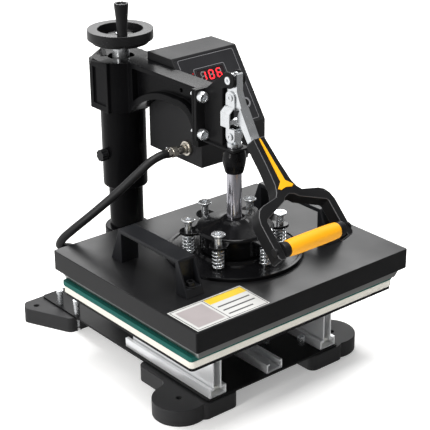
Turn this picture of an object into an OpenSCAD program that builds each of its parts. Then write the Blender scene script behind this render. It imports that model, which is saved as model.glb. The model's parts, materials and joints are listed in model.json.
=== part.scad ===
// Swing-away heat press with a slide-out bed. Millimetres, +Z up.
// Origin: floor level, at the centre of the four bench holes in the feet.
// +X runs along the front edge of the bed, -Y is towards the operator.

/* [Platen] */
// Width of the platen cover
cover_w = 400; // [380:1:420]
// Depth of the platen cover
cover_d = 337; // [320:1:350]
// Height of the platen cover skirt
cover_h = 30.8; // [28:0.2:34]
// Height of the cover top above the floor when the press is closed
cover_top = 190; // [189:0.5:191]

/* [Base] */
// Height of the moulded feet
foot_h = 25.5; // [20:0.5:30]
// Spacing of the bench holes across the press
bench_x = 302; // [296:1:306]
// Spacing of the bench holes from front to back
bench_y = 373; // [368:1:376]
// Diameter of the bench holes
bench_hole = 8.5; // [7:0.5:10]
// Thickness of the steel base plate
plate_t = 3; // [2.5:0.5:4]
// Height of the three C rails
rail_h = 14.5; // [13:0.5:16]
// Width of the three C rails
rail_w = 30; // [28:1:32]

/* [Column] */
// Distance of the column axis behind the origin
column_y = 136.5; // [130:0.5:140]
// Outer diameter of the post
post_d = 54.5; // [50:0.5:56]
// Outer diameter of the arm sleeve round the post
sleeve_d = 71; // [68:1:74]
// Outer diameter of the pressure handwheel
wheel_d = 102; // [98:1:112]

/* [Toggle] */
// Distance of the lift rod and toggle pivots in front of the origin
toggle_y = 132; // [128:0.5:134]
// Height of the fixed toggle pivot
pivot_z = 455; // [450:0.5:458]
// Crank length of the lever between its two pivots
crank_len = 26; // [24:0.5:28]
// Length of the toggle link
link_len = 58; // [56:0.5:60]
// Diameter of the lift rod
rod_d = 22; // [20:0.5:24]

/* [Control box] */
// Left face of the control box
box_x0 = 20.5; // [20:0.5:22]
// Right face of the control box
box_x1 = 147; // [140:1:150]
// Sheet thickness of the control box
box_t = 2; // [1.5:0.5:3]

/* [Hidden] */
$fn = 48;
hull_fn = 32;
fit = 0.1;
slack = 0.3;

// Heights of the stack
plate_z = foot_h;
rail_z = plate_z + plate_t;
rail_wall = 2.5;
rail_lip = 5.5;
rail_len = 202;
rail_y0 = -222.5;
rail_pitch = 108;
bed_z = 119.2;
bed_t = 4.8;
sponge_t = 10.5;
press_t = 8.4;
pad_w = 388;
pad_d = 306.5;
bed_y = -117;
cover_y = -122.5;
cover_z = cover_top - cover_h;
heater_z = 143.3;
heater_t = 20;
sheet_t = 2;

// Column and arm
collar_d = 72;
collar_top = 145;
post_wall = 3.5;
post_top = 330;
sleeve_z0 = 217;
head_z0 = 348;
head_z1 = 428;
head_r = 50;
head_round = 43.4;
head_mouth_d = 41;
head_floor = 412;
arm_w = 34;
arm_top = 430;
arm_web = 12;
arm_end_y = -71;
flange_w = 56;
flange_z0 = 355;
flange_z1 = 432;
flange_t = 5.5;
screw_d = 20;
bush_d = 27;
bracket_t = 5;
bracket_front = arm_end_y - flange_t - bracket_t;

// Toggle
rod_r = rod_d / 2;
clevis_z = pivot_z - crank_len - link_len;
crank_z = pivot_z - crank_len;
pin_r = 4;
lever_half = 5.6;
link_in = 5.9;
link_out = 7.7;
link_bulge = 15.4;
ear_in = 8;
ear_out = 11;
bracket_screw_x = 19.2;
bracket_screw_zs = [364.5, 421];
hub_r = 102;
bolt_r = 68;
bolt_count = 6;

// Handle: its face plane slopes 45 degrees down to the front
handle_tilt = 45;
face_drop = 11.3;
handle_t = 24;
tang_half = 6.5;
tang_drop = 20;
tang_t = 10;
grip_half = 47;
grip_s = 248.5;
grip_drop = 17.5;
grip_r = 12;
arm_out = 69;
arm_in = 57;

// Control box profile: depth and height of the corners of the side view
box_back = 96;
box_front = -33;
box_bottom = 286;
box_knee = 336;
box_brow = 37.5;
box_top = 440;
slope_len = norm([box_brow - box_front, box_top - box_knee]);
slope_tilt = atan2(box_top - box_knee, box_brow - box_front);
button_row = 93;
box_screw_ys = [44, 76];
box_screw_z = 414;

// Cable from the control box to the platen, chosen by hand
cable_r = 6.5;
cable_sides = 10;
gland_x = -150;
gland_z = 170;
cable_route = [[-20, 0, 310], [-32, 0, 310], [-50, 2, 304], [-72, 6, 289], [-96, 14, 269],
    [-119, 26, 248], [-139, 42, 226], [-154, 59, 206], [-163, 74, 189], [-164, 84, 175],
    [-158, 84, 169], [-153, 75, 170], [-150, 65, 170], [-150, 56, 170]];

// ---------- helpers ----------

// Rounded plate outline, corners of radius r
module rounded_rect(w, d, r) {
    square([w - 2 * r, d], center = true);
    square([w, d - 2 * r], center = true);
    for (sx = [-1, 1], sy = [-1, 1])
        translate([sx * (w / 2 - r), sy * (d / 2 - r)]) circle(r);
}

// A plate of that outline with its lower face at z
module plate(w, d, r, z, t) {
    translate([0, 0, z]) linear_extrude(t) rounded_rect(w, d, r);
}

// A side view in (y, z) turned upright and extruded along X from x0 to x1
module side_view(x0, x1) {
    translate([x0, 0, 0]) rotate([90, 0, 90]) linear_extrude(x1 - x0) children();
}

// A cylinder along X between x0 and x1, centred on (y, z)
module rod_x(x0, x1, y, z, r) {
    translate([x0, y, z]) rotate([0, 90, 0]) cylinder(h = x1 - x0, r = r);
}

// A cylinder along Y between y0 and y1, centred on (x, z)
module rod_y(y0, y1, x, z, r) {
    translate([x, y0, z]) rotate([-90, 0, 0]) cylinder(h = y1 - y0, r = r);
}

// Socket cap screw standing on z, head up, shank going down
module cap_screw(z, stand, shank_len, head_r = 6.5, head_h = 8, shank_r = 4, key_r = 3.4) {
    difference() {
        union() {
            translate([0, 0, z + stand - head_h]) cylinder(h = head_h, r = head_r);
            translate([0, 0, z - shank_len]) cylinder(h = stand + shank_len - head_h + 1, r = shank_r);
        }
        translate([0, 0, z + stand - 4]) cylinder(h = 5, r = key_r, $fn = 6);
    }
}

// Cap screw whose head stands on a spacer sleeve
module spaced_screw(z, stand, shank_len) {
    cap_screw(z, stand, shank_len, head_r = 5.8, head_h = 7);
    translate([0, 0, z]) cylinder(h = stand - 6, r = 4.9);
}

module bench_hole_at(sx, sy) {
    translate([sx * bench_x / 2, sy * bench_y / 2, -1]) cylinder(h = foot_h + 2, d = bench_hole);
}

// ---------- base ----------

foot_screw_places = [[84, -190], [120, 162.5], [120, 115.5]];
plate_screw_place = [48, -151.5];

module foot_holes(side) {
    for (p = foot_screw_places)
        translate([side * p[0], p[1], -1]) cylinder(h = foot_h + 2, r = 4.2);
}

// Left front foot: a pad under the plate and a round lobe for the bench hole
module front_foot() {
    color("#3a3a3a") difference() {
        linear_extrude(foot_h) {
            translate([-105.5, -149]) rounded_rect(67, 157, 12);
            translate([-148, -184.5]) circle(40.5);
            difference() {
                polygon([[-125, -128], [-155, -128], [-153, -146], [-148, -184.5], [-125, -184.5]]);
                translate([-154.85, -128.7]) circle(16);
            }
        }
        bench_hole_at(-1, -1);
        foot_holes(-1);
    }
}

// Rear foot: a wedge that reaches out to the rear corner
module rear_foot(side) {
    corners = [[70, 120], [70, 199], [154, 199], [160, 190], [129, 122]];
    color("#3a3a3a") difference() {
        hull() for (p = corners)
            translate([side * p[0], p[1], 0]) cylinder(h = foot_h, r = 10, $fn = hull_fn);
        bench_hole_at(side, 1);
        foot_holes(side);
    }
}

module foot_front_left() { front_foot(); }
module foot_front_right() { mirror([1, 0, 0]) front_foot(); }
module foot_rear_left() { rear_foot(-1); }
module foot_rear_right() { rear_foot(1); }

module base_plate() {
    color("#161616") difference() {
        translate([0, -10, 0]) plate(256, 431, 6, plate_z, plate_t);
        for (side = [-1, 1]) {
            for (p = foot_screw_places) translate([side * p[0], p[1], 0]) cylinder(h = 60, r = 4.2);
            translate([side * plate_screw_place[0], plate_screw_place[1], 0]) cylinder(h = 60, r = 4.2);
        }
        for (sx = [-1, 1], sy = [-1, 1])
            translate([sx * 40, column_y + sy * 40, 0]) cylinder(h = 60, r = 4.2);
    }
}

// C rail with its slot upwards
module c_rail(x) {
    slot = rail_w - 2 * rail_lip;
    color("#c9cccd") translate([x, rail_y0, rail_z]) difference() {
        translate([-rail_w / 2, 0, 0]) cube([rail_w, rail_len, rail_h]);
        translate([-rail_w / 2 + rail_wall, -1, rail_wall])
            cube([rail_w - 2 * rail_wall, rail_len + 2, rail_h - 2 * rail_wall]);
        translate([-slot / 2, -1, rail_h - rail_wall - 1]) cube([slot, rail_len + 2, rail_wall + 2]);
    }
}
module rail_left() { c_rail(-rail_pitch); }
module rail_middle() { c_rail(0); }
module rail_right() { c_rail(rail_pitch); }

module post() {
    color("#1a1a1a") translate([0, column_y, rail_z]) difference() {
        cylinder(h = post_top - rail_z, d = post_d, $fn = 96);
        translate([0, 0, -1]) cylinder(h = post_top, d = post_d - 2 * post_wall, $fn = 96);
    }
}

// Socket that holds the post on the base plate
module post_collar() {
    color("#1a1a1a") translate([0, column_y, rail_z]) difference() {
        union() {
            linear_extrude(8) rounded_rect(104, 104, 10);
            cylinder(h = collar_top - rail_z - 2, d = collar_d, $fn = 96);
            translate([0, 0, collar_top - rail_z - 2])
                cylinder(h = 2, d1 = collar_d, d2 = collar_d - 3, $fn = 96);
        }
        translate([0, 0, -1]) cylinder(h = collar_top, d = post_d + 2 * fit, $fn = 96);
        for (sx = [-1, 1], sy = [-1, 1])
            translate([sx * 40, sy * 40, -1]) cylinder(h = 12, r = 4.2);
    }
}

module collar_bolts() {
    color("silver") for (sx = [-1, 1], sy = [-1, 1])
        translate([sx * 40, column_y + sy * 40, 0]) {
            cap_screw(rail_z + 8, 8, 18);
            nut_below(plate_z);
        }
}

// Hexagon nut hanging under z, round an M8 shank that fills it
module nut_below(z) {
    translate([0, 0, z - 6.5]) cylinder(h = 6.5, r = 7.5, $fn = 6);
}

module foot_screws() {
    color("silver") for (side = [-1, 1]) {
        for (p = foot_screw_places)
            translate([side * p[0], p[1], 0]) spaced_screw(rail_z, p[1] < 0 ? 14 : 24, 22);
        translate([side * plate_screw_place[0], plate_screw_place[1], 0]) {
            spaced_screw(rail_z, 14, 12);
            nut_below(plate_z);
        }
    }
}

// ---------- bed ----------

module bed_plate() {
    color("#1c1c1c") difference() {
        translate([0, bed_y, 0]) plate(384, 304, 6, bed_z, bed_t);
        bed_screw_places() cylinder(h = 200, r = 2.7);
    }
}

module bed_screw_places() {
    for (sx = [-1, 1], y = [-200, -55]) translate([sx * rail_pitch, y, 0]) children();
}

module sponge_pad() {
    color("#e9e6dc") difference() {
        translate([0, bed_y, 0]) plate(386, 305.5, 5, bed_z + bed_t, sponge_t);
        bed_screw_places() translate([0, 0, bed_z + bed_t - 1]) cylinder(h = 3.6, r = 6);
    }
}

module press_pad() {
    color("#0f7a6c") translate([0, bed_y, 0]) plate(pad_w, pad_d, 4, bed_z + bed_t + sponge_t, press_t);
}

// Inverted U profile whose flanges run in a C rail
support_half = 8;
support_flange_z = 37.8;
module bed_support(x) {
    color("#c9cccd") translate([x, -220.5, 0]) difference() {
        union() {
            translate([-support_half, 0, support_flange_z])
                cube([2 * support_half, 190, bed_z - support_flange_z]);
            translate([-12, 0, support_flange_z]) cube([24, 190, 2.4]);
        }
        translate([-support_half + 2.5, -1, 0])
            cube([2 * support_half - 5, 192, bed_z - 3]);
        for (y = [20.5, 165.5]) translate([0, y, bed_z - 10]) cylinder(h = 12, r = 2.7);
    }
}
module support_left() { bed_support(-rail_pitch); }
module support_right() { bed_support(rail_pitch); }

// Nylon blocks between the support flanges and the rail floor
module slider_shoes() {
    shoe_z = rail_z + rail_wall + 0.2;
    color("#d8d8d0") for (sx = [-1, 1], y = [-212, -60])
        translate([sx * rail_pitch - 12, y, shoe_z]) cube([24, 26, support_flange_z - shoe_z]);
}

module bed_screws() {
    color("silver") bed_screw_places() {
        translate([0, 0, bed_z - 3 - 4]) cylinder(h = 4 + 3 + bed_t, r = 2.5);
        translate([0, 0, bed_z + bed_t]) cylinder(h = 2.2, r = 5);
        translate([0, 0, bed_z - 3 - 4]) cylinder(h = 4, r = 4.6, $fn = 6);
    }
}

// ---------- column head and arm ----------

// Nut that turns on top of the post and carries the pressure screw
module swing_nut() {
    color("#b08d3a") translate([0, column_y, 0]) difference() {
        union() {
            translate([0, 0, post_top + slack]) cylinder(h = 22, r = post_d / 2 - slack, $fn = 96);
            translate([0, 0, post_top - 16]) cylinder(h = 17, r = post_d / 2 - post_wall - 0.05, $fn = 96);
            translate([-4, post_d / 2 - 5, post_top + 1]) cube([8, 8, 20]);
        }
        translate([0, 0, post_top - 20]) cylinder(h = 60, r = screw_d / 2 + 0.05, $fn = 96);
    }
}

// Arch under the arm, grown by g: a long curve from the column and a tight one at the front
module arch(g) {
    intersection() {
        translate([-2, 258]) circle(133 + g, $fn = 128);
        translate([-23, 300]) square([160, 120]);
    }
    translate([-23, 356]) circle(35 + g, $fn = 96);
    translate([-58 - g, 280]) square([40 + g, 76]);
    translate([-23, 280]) square([160, 69 + g]);
}

module arm_casting() {
    color("#1b1b1b") difference() {
        union() {
            side_view(-arm_w / 2, arm_w / 2) difference() {
                translate([arm_end_y - 1, 340]) square([column_y - arm_end_y - 20, arm_top - 340]);
                arch(0);
                difference() {
                    translate([arm_end_y - 20, 300]) square([column_y - arm_end_y, arm_top - 300 - 8]);
                    arch(10);
                    translate([arm_end_y - 1, 300]) square([8, 140]);
                    translate([column_y - 50, 300]) square([60, 140]);
                }
            }
            side_view(-arm_web / 2, arm_web / 2) difference() {
                translate([arm_end_y - 1, 340]) square([column_y - arm_end_y - 20, arm_top - 344]);
                arch(0);
            }
            translate([-flange_w / 2, arm_end_y - flange_t, flange_z0])
                cube([flange_w, flange_t, flange_z1 - flange_z0]);
            translate([0, column_y, 0]) {
                translate([0, 0, sleeve_z0 + 2]) cylinder(h = head_z0 - sleeve_z0, d = sleeve_d, $fn = 96);
                translate([0, 0, sleeve_z0]) cylinder(h = 2, d1 = sleeve_d - 4, d2 = sleeve_d, $fn = 96);
                translate([0, 0, head_z0]) cylinder(h = head_z1 - head_z0, r = head_round, $fn = 96);
                intersection() {
                    translate([0, 0, head_z0]) rotate(30) cylinder(h = head_z1 - head_z0, r = head_r, $fn = 6);
                    translate([-60, -22, head_z0]) cube([120, 90, 100]);
                }
            }
        }
        translate([0, column_y, 0]) {
            translate([0, 0, sleeve_z0 - 1]) cylinder(h = 395 - sleeve_z0, r = post_d / 2 + fit, $fn = 96);
            translate([-4.3, 0, sleeve_z0 - 1]) cube([8.6, post_d / 2 + 3.4, 395 - sleeve_z0]);
            translate([0, 0, 380]) cylinder(h = 60, r = screw_d / 2 + slack, $fn = 96);
            translate([0, 0, head_floor]) cylinder(h = 40, d = head_mouth_d, $fn = 96);
            for (a = [-90, -30, 30, 90]) rotate(a)
                translate([-16, 40.3, head_z0 + 10]) cube([32, 8, 58]);
        }
        rod_x(-60, 0, column_y, 274, 4.3);
        rod_x(-20, 20, -20, 412, 3);
        for (sx = [-1, 1], z = bracket_screw_zs) rod_y(-100, -60, sx * bracket_screw_x, z, 3.1);
        for (y = box_screw_ys) rod_x(-arm_web / 2 + 1.8, 30, y, box_screw_z, 2.1);
    }
}

// Plate with two ears that hold the fixed pivot, and a shelf for the guide bush
module toggle_bracket() {
    color("#121212") difference() {
        union() {
            translate([-flange_w / 2, bracket_front, flange_z0])
                cube([flange_w, bracket_t, flange_z1 - flange_z0]);
            for (x = [-ear_out, ear_in]) side_view(x, x + ear_out - ear_in) bracket_ear();
            translate([-15, -toggle_y - 16, 351.5]) cube([30, bracket_front + toggle_y + 18, 3.5]);
        }
        rod_x(-20, 20, -toggle_y, pivot_z, pin_r);
        translate([0, -toggle_y, 340]) cylinder(h = 30, r = rod_r + 1);
        for (sx = [-1, 1], z = bracket_screw_zs) rod_y(-100, -60, sx * bracket_screw_x, z, 4.2);
    }
}

module bracket_ear() {
    ear_front = -toggle_y + 13;
    polygon([[bracket_front + 1, 352], [bracket_front + 1, 430], [-toggle_y + 8, 464.5],
        [-toggle_y - 9, 450], [ear_front, 440], [ear_front, 352]]);
    translate([-toggle_y, pivot_z]) circle(12);
}

module bracket_screws() {
    color("silver") for (sx = [-1, 1], z = bracket_screw_zs) difference() {
        union() {
            rod_y(bracket_front - 9, bracket_front, sx * bracket_screw_x, z, 8);
            rod_y(bracket_front - 1, bracket_front + 20, sx * bracket_screw_x, z, 3);
        }
        translate([sx * bracket_screw_x, bracket_front - 10, z]) rotate([-90, 0, 0])
            cylinder(h = 6, r = 4.6, $fn = 6);
    }
}

// Waisted boss that guides the lift rod
module guide_bush() {
    profile = [[rod_r + 0.05, 316.5], [13.2, 316.5], [14, 319], [16.4, 329], [17.2, 336],
        [17, 343], [15.5, 349], [13.5, 351.5], [rod_r + 0.05, 351.5]];
    color("#101010") translate([0, -toggle_y, 0]) rotate_extrude($fn = 96) polygon(profile);
}

module pivot_pin() {
    color("silver") difference() {
        union() {
            rod_x(-ear_out, ear_out, -toggle_y, pivot_z, pin_r);
            for (x = [-ear_out - 1.6, ear_out]) rod_x(x, x + 1.6, -toggle_y, pivot_z, 5.6);
        }
        rod_x(-ear_out - 2, -ear_out + 1, -toggle_y, pivot_z, 2.2);
    }
}

// ---------- control box ----------

module box_outline() {
    polygon([[box_back, box_bottom], [box_back, box_top], [box_brow, box_top],
        [box_front, box_knee], [box_front, box_bottom]]);
}

// Same outline moved in by t on every side
module box_outline_in(t) {
    run = t * tan(slope_tilt / 2);
    drop = t * tan((90 - slope_tilt) / 2);
    polygon([[box_back - t, box_bottom + t], [box_back - t, box_top - t], [box_brow + run, box_top - t],
        [box_front + t, box_knee - drop], [box_front + t, box_bottom + t]]);
}

// Places a child on the sloped face: x across, s down the slope, z outwards
module on_slope(x, s) {
    translate([x, box_brow, box_top]) rotate([slope_tilt, 0, 0]) translate([0, -s, 0]) children();
}

module box_shell() {
    color("#474749") difference() {
        side_view(box_x0, box_x1) box_outline();
        side_view(box_x0 + box_t, box_x1 - box_t) box_outline_in(box_t);
        on_slope((box_x0 + box_x1) / 2, slope_len / 2)
            translate([0, 0, -5]) linear_extrude(8) rounded_rect(box_x1 - box_x0 - 8, slope_len - 8, 3);
        rod_x(box_x0 - 5, box_x0 + 5, 0, 310, 7.1);
        translate([118, -18, box_bottom - 5]) cylinder(h = 10, r = 5.1);
        translate([62, box_back - 5, 308]) cube([28, 10, 20]);
        translate([box_x1 - 5, 49, 306]) cube([10, 22, 28]);
        for (y = box_screw_ys) rod_x(box_x0 - 5, box_x0 + 5, y, box_screw_z, 2.1);
        for (s = [-1, 1], z = [300, 420]) rod_y(box_back - 5, box_back + 5, 84 + s * 52, z, 1.6);
    }
}

// Front panel with the display window and the button holes
module box_panel() {
    w = box_x1 - box_x0 - 8.6;
    color("#3c3c3e") difference() {
        on_slope((box_x0 + box_x1) / 2, slope_len / 2)
            translate([0, 0, -2.2]) linear_extrude(2) rounded_rect(w, slope_len - 8.6, 3);
        on_slope(82, 37) translate([-26, -10, -5]) cube([52, 20, 8]);
        for (x = button_places) on_slope(x, button_row) translate([0, 0, -6]) cylinder(h = 8, r = 5.1);
    }
}

button_places = [62, 93, 124];
module round_button(x) {
    color("#2a2a2b") on_slope(x, button_row) {
        translate([0, 0, -4]) cylinder(h = 5, r = 4.8);
        translate([0, 0, -5]) cylinder(h = 1.6, r = 6.2);
    }
}
module set_button() { round_button(button_places[0]); }
module down_button() { round_button(button_places[1]); }
module up_button() { round_button(button_places[2]); }

// Circuit board with the display block, relay and transformer
module control_board() {
    color("#1f5f3a") on_slope((box_x0 + box_x1) / 2, slope_len / 2) {
        translate([0, 0, -11]) linear_extrude(1.6) rounded_rect(110, 104, 2);
        translate([-27.5, 16.3, -9.5]) cube([51, 19, 8.4]);
        translate([-30, -40, -29]) cube([30, 26, 18.5]);
        translate([10, -6, -27]) cube([34, 40, 16.5]);
    }
}

// Screws and spacers between the arm's web and the control box
module box_screws() {
    color("silver") for (y = box_screw_ys) {
        rod_x(-arm_web / 2 + 2, box_x0 + 4, y, box_screw_z, 2);
        rod_x(arm_web / 2, box_x0, y, box_screw_z, 4.5);
        rod_x(box_x0 + box_t, box_x0 + box_t + 2, y, box_screw_z, 4);
    }
}

module power_inlet() {
    color("#151515") difference() {
        union() {
            translate([62.3, box_back - 22, 308.3]) cube([27.4, 22.5, 19.4]);
            translate([52, box_back, 303]) cube([48, 3, 30]);
        }
        translate([66, box_back - 14, 311]) cube([20, 30, 14]);
    }
}

module fuse_holder() {
    color("#111111") translate([118, -18, 0]) {
        translate([0, 0, box_bottom - 2.5]) cylinder(h = 2.5, r = 7);
        translate([0, 0, box_bottom - 10]) cylinder(h = 8, r = 5.6);
        translate([0, 0, box_bottom - 1]) cylinder(h = 24, r = 5);
    }
}

// Panel half of the round cable connector
module cable_socket() {
    color("#b9b2a2") difference() {
        union() {
            rod_x(15.5, box_x0 - 0.2, 0, 310, 11.5);
            rod_x(11, 17, 0, 310, 8.2);
            rod_x(box_x0 - 1, box_x0 + 8, 0, 310, 7);
        }
        rod_x(5, 14, 0, 310, 6.6);
    }
}

// Cable half of the connector, with its knurled ring and clamp
module cable_plug() {
    color("#c4bdad") {
        rod_x(-3, 13.5, 0, 310, 6.4);
        rod_x(-12, -2, 0, 310, 8);
        difference() {
            rod_x(-20, -11, 0, 310, 7.2);
            translate([-21, -10, 316]) cube([8, 20, 5]);
        }
    }
}

// Rocker of the mains switch in the right-hand side
module power_switch() {
    color("#8c1512") difference() {
        union() {
            translate([box_x1 - 3, 49.5, 307.5]) cube([6, 21, 25]);
            rod_y(49.5, 70.5, box_x1 - 2, 320, 3.5);
        }
        translate([box_x1 + 2.4, 40, 320]) rotate([0, -10, 0]) cube([6, 40, 20]);
    }
}

module lock_knob() {
    x0 = -sleeve_d / 2;
    color("#151515") difference() {
        union() {
            rod_x(x0 - 12.5, x0 - 0.8, column_y, 274, 9.5);
            rod_x(x0 - 2, -post_d / 2 - 0.5, column_y, 274, 4.2);
        }
        for (a = [0:45:315]) translate([x0 - 14, column_y + 10.6 * cos(a), 274 + 10.6 * sin(a)])
            rotate([0, 90, 0]) cylinder(h = 11, r = 2.4, $fn = 24);
    }
}

// ---------- pressure adjustment ----------

module pressure_screw() {
    color("silver") translate([0, column_y, 0]) {
        translate([0, 0, 318]) cylinder(h = head_floor - 318, r = screw_d / 2, $fn = 96);
        translate([0, 0, head_floor + 0.2]) cylinder(h = 444 - head_floor, d = bush_d, $fn = 96);
        translate([0, 0, head_floor - 2]) cylinder(h = 4, r = screw_d / 2, $fn = 96);
        translate([0, 0, 438]) cylinder(h = 26, r = 7);
    }
}

wheel_z0 = 456;
wheel_z1 = 471;
crank_at = [-22, -36];
module handwheel() {
    color("#2b2b2b") translate([0, column_y, 0]) difference() {
        union() {
            difference() {
                translate([0, 0, wheel_z0]) cylinder(h = wheel_z1 - wheel_z0, d = wheel_d, $fn = 128);
                translate([0, 0, wheel_z0 - 1]) cylinder(h = 20, d = 70, $fn = 96);
            }
            translate([0, 0, 444.4]) cylinder(h = 17, r = 21, $fn = 96);
            for (a = [0, 120, 240]) rotate(a + 62)
                translate([-7, 10, 450]) cube([14, 28, 8]);
            translate([0, 0, 450]) difference() {
                cylinder(h = 7, r = 44, $fn = 96);
                translate([0, 0, -1]) cylinder(h = 9, r = 35, $fn = 96);
            }
        }
        translate([0, 0, 430]) cylinder(h = 60, r = 7 + slack);
        translate([crank_at[0], crank_at[1], 440]) cylinder(h = 60, r = 3.6);
    }
}

module crank_pin() {
    color("silver") translate([crank_at[0], column_y + crank_at[1], 0]) difference() {
        union() {
            translate([0, 0, 457]) cylinder(h = 15, r = 3.5);
            translate([0, 0, wheel_z1]) cylinder(h = 43.5, r = 4);
            translate([0, 0, 514.3]) cylinder(h = 4, r = 6.4);
        }
        translate([0, 0, 515.5]) cylinder(h = 5, r = 3, $fn = 6);
    }
}

module crank_grip() {
    profile = [[4.05, 471.5], [8, 471.5], [8.2, 480], [9.2, 500], [10.6, 514], [11, 521],
        [7.6, 521], [7.6, 514], [4.05, 514]];
    color("#141414") translate([crank_at[0], column_y + crank_at[1], 0]) difference() {
        rotate_extrude($fn = 64) polygon(profile);
        for (a = [0:30:330]) rotate(a) translate([9, -0.9, 518.4]) cube([4, 1.8, 5]);
    }
}

// ---------- platen ----------

module lift_rod() {
    color("#d5d5da") translate([0, -toggle_y, 246]) cylinder(h = 110, r = rod_r, $fn = 96);
}

// Tongue on top of the lift rod, held between the two plates of the link
module rod_clevis() {
    color("#9a8a5c") difference() {
        union() {
            translate([0, -toggle_y, 356]) cylinder(h = 5.5, r = rod_r);
            side_view(-lever_half, lever_half) {
                translate([-toggle_y, clevis_z]) circle(9);
                translate([-toggle_y - 9, 360]) square([18, clevis_z - 360]);
            }
            rod_x(-link_out - 1.8, link_out + 1.8, -toggle_y, clevis_z, pin_r);
            for (x = [-link_out - 1.8, link_out + 0.4]) rod_x(x, x + 1.4, -toggle_y, clevis_z, 5.4);
        }
        rod_x(-link_out - 3, -link_out - 0.8, -toggle_y, clevis_z, 2.2);
    }
}

module at_bolts() {
    for (i = [0:bolt_count - 1])
        translate([0, -toggle_y, 0]) rotate(30 + i * 360 / bolt_count) translate([bolt_r, 0, 0]) children();
}

// Six-eared plate, dome and drum
module spider_hub() {
    dome = [[0, 199], [50, 199], [52, 203], [52, 226], [57, 227.5], [58, 230.5], [55, 233.5], [46, 235.5],
        [34, 238.5], [24, 242], [17, 246], [15, 246.5], [0, 246.5]];
    color("#131313") difference() {
        union() {
            translate([0, -toggle_y, 0]) rotate_extrude($fn = 96) polygon(dome);
            at_bolts() {
                translate([0, 0, 226]) cylinder(h = 4, r = 13);
                translate([-24, -13, 226]) cube([24, 26, 4]);
            }
        }
        translate([0, -toggle_y, 246]) cylinder(h = 3, r = rod_r + fit);
        at_bolts() translate([0, 0, 220]) cylinder(h = 20, r = 4.3);
    }
}

module spring_bolts() {
    color("silver") at_bolts() difference() {
        union() {
            translate([0, 0, 242]) cylinder(h = 4, r1 = 5.5, r2 = 10);
            translate([0, 0, 246]) cylinder(h = 2, r = 10);
            translate([0, 0, 194]) cylinder(h = 49, r = 4);
            translate([0, 0, 230.1]) cylinder(h = 12.5, r = 5.4);
        }
        translate([0, 0, 245]) cylinder(h = 5, r = 3.4, $fn = 6);
    }
}

// Springs round the bolts, as plain sleeves of the coil's size
module springs() {
    color("silver") at_bolts() translate([0, 0, 196.2]) difference() {
        cylinder(h = 29.6, r = 9.5);
        translate([0, 0, -1]) cylinder(h = 32, r = 7);
    }
}

module mounting_disc() {
    rim = [[0, 190], [hub_r, 190], [hub_r, 194.5], [hub_r - 1, 195.5], [hub_r - 5, 195.5],
        [hub_r - 7, 194], [57, 194], [55, 198.6], [0, 198.6]];
    color("#0e0e0e") difference() {
        translate([0, -toggle_y, 0]) rotate_extrude($fn = 128) polygon(rim);
        at_bolts() translate([0, 0, 193.9]) cylinder(h = 2.2, r = 11);
    }
}

module platen_cover() {
    color("#1a1a1a") translate([0, cover_y, 0]) difference() {
        plate(cover_w, cover_d, 3, cover_z, cover_h);
        plate(cover_w - 2 * sheet_t, cover_d - 2 * sheet_t, 2, cover_z - 1, cover_h - sheet_t + 1);
        translate([gland_x, cover_d / 2 - 5, gland_z]) rotate([-90, 0, 0]) cylinder(h = 10, r = 8.2);
    }
}

module insulation() {
    color("#d9d2b8") translate([0, cover_y, 0]) difference() {
        plate(384, 320, 2, 172, 15.6);
        translate([gland_x, 150, 160]) cube([40, 30, 44], center = true);
    }
}

// Tubular element bent into two hairpins, lying in a groove of the heat plate
module element_path(r, lift) {
    for (y = [-90, -30, 30, 90]) translate([-120, cover_y + y, lift]) rotate([0, 90, 0])
        cylinder(h = 240, r = r);
    for (y = [-60, 60]) translate([120, cover_y + y, lift]) rotate(-90)
        rotate_extrude(angle = 180) translate([30, 0]) circle(r);
    translate([-120, cover_y, lift]) rotate(90) rotate_extrude(angle = 180) translate([30, 0]) circle(r);
}

module heating_element() {
    color("#8a8580") element_path(4, heater_z + heater_t - 1);
}

// Cast heat plate, drafted towards its working face
module heat_plate() {
    color("#7d8083") translate([0, cover_y, 0]) difference() {
        hull() {
            translate([0, 0, heater_z + 10]) linear_extrude(heater_t - 10) square([382, 320], center = true);
            translate([0, 0, heater_z]) linear_extrude(1) square([376, 313], center = true);
        }
        translate([-130 - 30, -130, heater_z + heater_t - 6]) cube([320, 260, 10]);
    }
}

// Hollow moulded bridge beside the hub
guard_x = 134;
guard_w = 30;
guard_y = -119;
module guard_side_view(inset, legs) {
    polygon([[guard_y - 89 + inset, cover_top], [guard_y - 68.5 + inset, cover_top + 52 - inset],
        [guard_y + 68.5 - inset, cover_top + 52 - inset], [guard_y + 89 - inset, cover_top],
        [guard_y + 63 + legs, cover_top], [guard_y + 63 + legs, cover_top + 46 + legs],
        [guard_y - 63 - legs, cover_top + 46 + legs], [guard_y - 63 - legs, cover_top]]);
}

module guard(side) {
    x0 = side * guard_x - guard_w / 2;
    color("#17181a") difference() {
        side_view(x0, x0 + guard_w) guard_side_view(0, 0);
        for (s = [-1, 1]) translate([x0 + 2.6, guard_y + s * 86 - 20, cover_top + 12])
            cube([guard_w - 5.2, 40, 36]);
    }
    color("#17181a") for (s = [-1, 1])
        translate([x0 + 1, guard_y + s * 64.5 - 1.5, cover_top]) cube([guard_w - 2, 3, 50]);
}
module guard_left() { guard(-1); }
module guard_right() { guard(1); }

module cable_gland() {
    gland_y = cover_y + cover_d / 2;
    color("#151515") difference() {
        union() {
            rod_y(gland_y - 6, gland_y, gland_x, gland_z, 8);
            rod_y(gland_y, gland_y + 4, gland_x, gland_z, 8.8);
            rod_y(gland_y, gland_y + 10, gland_x, gland_z, 7.8);
        }
        rod_y(gland_y - 8, gland_y + 12, gland_x, gland_z, cable_r);
    }
}

// ---------- toggle and handle ----------

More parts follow.
